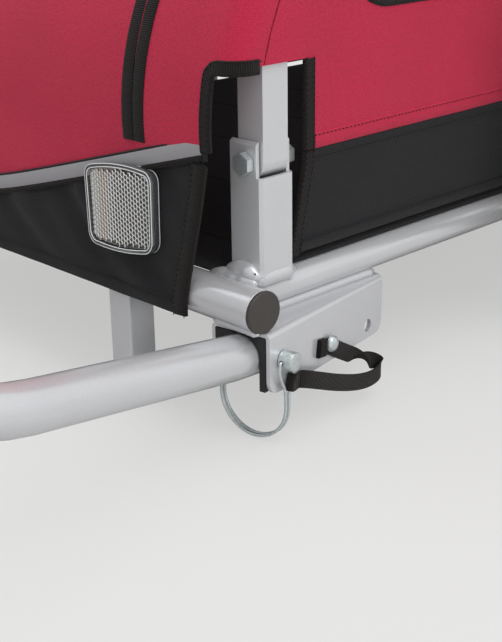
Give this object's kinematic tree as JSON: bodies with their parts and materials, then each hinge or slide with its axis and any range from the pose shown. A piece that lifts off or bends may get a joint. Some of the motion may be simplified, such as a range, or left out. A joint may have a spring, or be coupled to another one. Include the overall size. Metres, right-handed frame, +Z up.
{
  "type": "dog bike trailer",
  "caption": "Two-wheeled fabric trailer that carries a dog behind a bicycle, with a folding steel frame, rear door, roof hatch and a pinned tow arm.",
  "frame": {"origin": "on the ground under the middle of the part's bounding box", "axes": "+Z up, -Y forwards towards the bicycle, +X to the driver's left"},
  "size_m": [0.7318, 1.5274, 0.5755],
  "materials": {
    "silver_paint": "smooth silver powder coat",
    "zinc": "bright zinc plating",
    "dark_plastic": "moulded, slightly rough",
    "black_plastic": "moulded, fine grain",
    "black_fabric": "coated plain weave",
    "red_fabric": "coated plain weave",
    "mesh_fabric": "open mesh",
    "webbing": "woven webbing",
    "clear_plastic": "clear moulded prisms over a white back",
    "tyre_rubber": "moulded tread",
    "black_rubber": "moulded ribs"
  },
  "bodies": {
    "base": {"front_cross_tube": "silver_paint", "rear_cross_tube": "silver_paint", "side_rail_left": "silver_paint", "side_rail_right": "silver_paint", "end_cap_front_left": "dark_plastic", "end_cap_front_right": "dark_plastic", "end_cap_rear_left": "dark_plastic", "end_cap_rear_right": "dark_plastic", "corner_post_front_left": "silver_paint", "corner_post_front_right": "silver_paint", "corner_post_rear_left": "silver_paint", "corner_post_rear_right": "silver_paint", "pivot_bolt_front_left": "zinc", "pivot_bolt_front_right": "zinc", "pivot_bolt_rear_left": "zinc", "pivot_bolt_rear_right": "zinc", "front_leg_left": "silver_paint", "front_leg_right": "silver_paint", "leg_foot_left": "black_plastic", "leg_foot_right": "black_plastic", "drawbar_bracket": "silver_paint", "bracket_liner": "black_plastic", "drawbar": "silver_paint", "drawbar_pivot_bolt": "zinc", "drawbar_pivot_nut": "zinc", "pin_leash": "webbing", "hitch_flex": "black_rubber", "hitch_fork": "zinc", "axle_bracket_left": "silver_paint", "axle_bracket_right": "silver_paint", "axle_left": "zinc", "axle_right": "zinc", "front_lower_panel": "black_fabric", "front_upper_panel": "red_fabric", "front_window": "mesh_fabric", "side_skirt_left": "black_fabric", "side_skirt_right": "black_fabric", "roof_panel": "red_fabric", "floor_sheet": "black_fabric", "front_reflector_left": "clear_plastic", "front_reflector_right": "clear_plastic"},
    "frame_left": {"side_frame_left": "silver_paint", "side_panel_left": "red_fabric", "side_window_left": "mesh_fabric"},
    "frame_right": {"side_frame_right": "silver_paint", "side_panel_right": "red_fabric", "side_window_right": "mesh_fabric"},
    "spreader_front": {"spreader_bar_front": "silver_paint"},
    "spreader_rear": {"spreader_bar_rear": "silver_paint"},
    "wheel_left": {"tyre_left": "tyre_rubber", "rim_left": "black_plastic"},
    "wheel_right": {"tyre_right": "tyre_rubber", "rim_right": "black_plastic"},
    "button_left": {"release_button_left": "dark_plastic"},
    "button_right": {"release_button_right": "dark_plastic"},
    "door": {"rear_door": "red_fabric"},
    "pin": {"lock_pin": "zinc"},
    "bail": {"pin_bail": "zinc"},
    "axle_block": {"hitch_block": "zinc"},
    "drop_pin": {"hitch_pin": "zinc"}
  },
  "joints": [
    {"name": "side_fold_left", "type": "hinge", "parent": "base", "child": "frame_left", "pos_m": [0.267, -0.03505, 0.1865], "axis": [0, -1, 0], "range_deg": [0, 90], "deforming": ["front_upper_panel", "front_window", "roof_panel"]},
    {"name": "side_fold_right", "type": "hinge", "parent": "base", "child": "frame_right", "pos_m": [-0.267, -0.03505, 0.2205], "axis": [0, 1, 0], "range_deg": [0, 90], "deforming": ["front_upper_panel", "front_window", "roof_panel"]},
    {"name": "spreader_lift_front", "type": "slide", "parent": "base", "child": "spreader_front", "axis": [0, 0, 1], "range_m": [0, 0.0105]},
    {"name": "spreader_lift_rear", "type": "slide", "parent": "base", "child": "spreader_rear", "axis": [0, 0, 1], "range_m": [0, 0.0105]},
    {"name": "wheel_spin_left", "type": "hinge", "parent": "base", "child": "wheel_left", "pos_m": [0.3306, 0.43495, 0.203], "axis": [1, 0, 0], "continuous": true},
    {"name": "wheel_spin_right", "type": "hinge", "parent": "base", "child": "wheel_right", "pos_m": [-0.3306, 0.43495, 0.203], "axis": [1, 0, 0], "continuous": true},
    {"name": "release_button_left_press", "type": "slide", "parent": "base", "child": "button_left", "axis": [-1, 0, 0], "range_m": [0, 0.003], "stiffness_N_per_m": 300, "springref_m": -0.003},
    {"name": "release_button_right_press", "type": "slide", "parent": "base", "child": "button_right", "axis": [1, 0, 0], "range_m": [0, 0.003], "stiffness_N_per_m": 300, "springref_m": -0.003},
    {"name": "rear_door_hinge", "type": "hinge", "parent": "base", "child": "door", "pos_m": [0, 0.76245, 0.104], "axis": [-1, 0, 0], "range_deg": [0, 100]},
    {"name": "pin_pull", "type": "slide", "parent": "base", "child": "pin", "axis": [0.9857, 0.1685, 0], "range_m": [0, 0.002], "deforming": ["pin_leash"]},
    {"name": "bail_swing", "type": "hinge", "parent": "pin", "child": "bail", "pos_m": [0.30058, -0.01871, 0.0621], "axis": [0.1685, -0.9857, 0], "range_deg": [0, 170], "deforming": ["pin_leash"]},
    {"name": "hitch_swivel", "type": "hinge", "parent": "base", "child": "axle_block", "pos_m": [0.07, -0.70365, 0.27], "axis": [0, 0, 1], "range_deg": [-60, 60]},
    {"name": "hitch_pin_lift", "type": "slide", "parent": "base", "child": "drop_pin", "axis": [0, 0, 1], "range_m": [0, 0.04]}
  ]
}
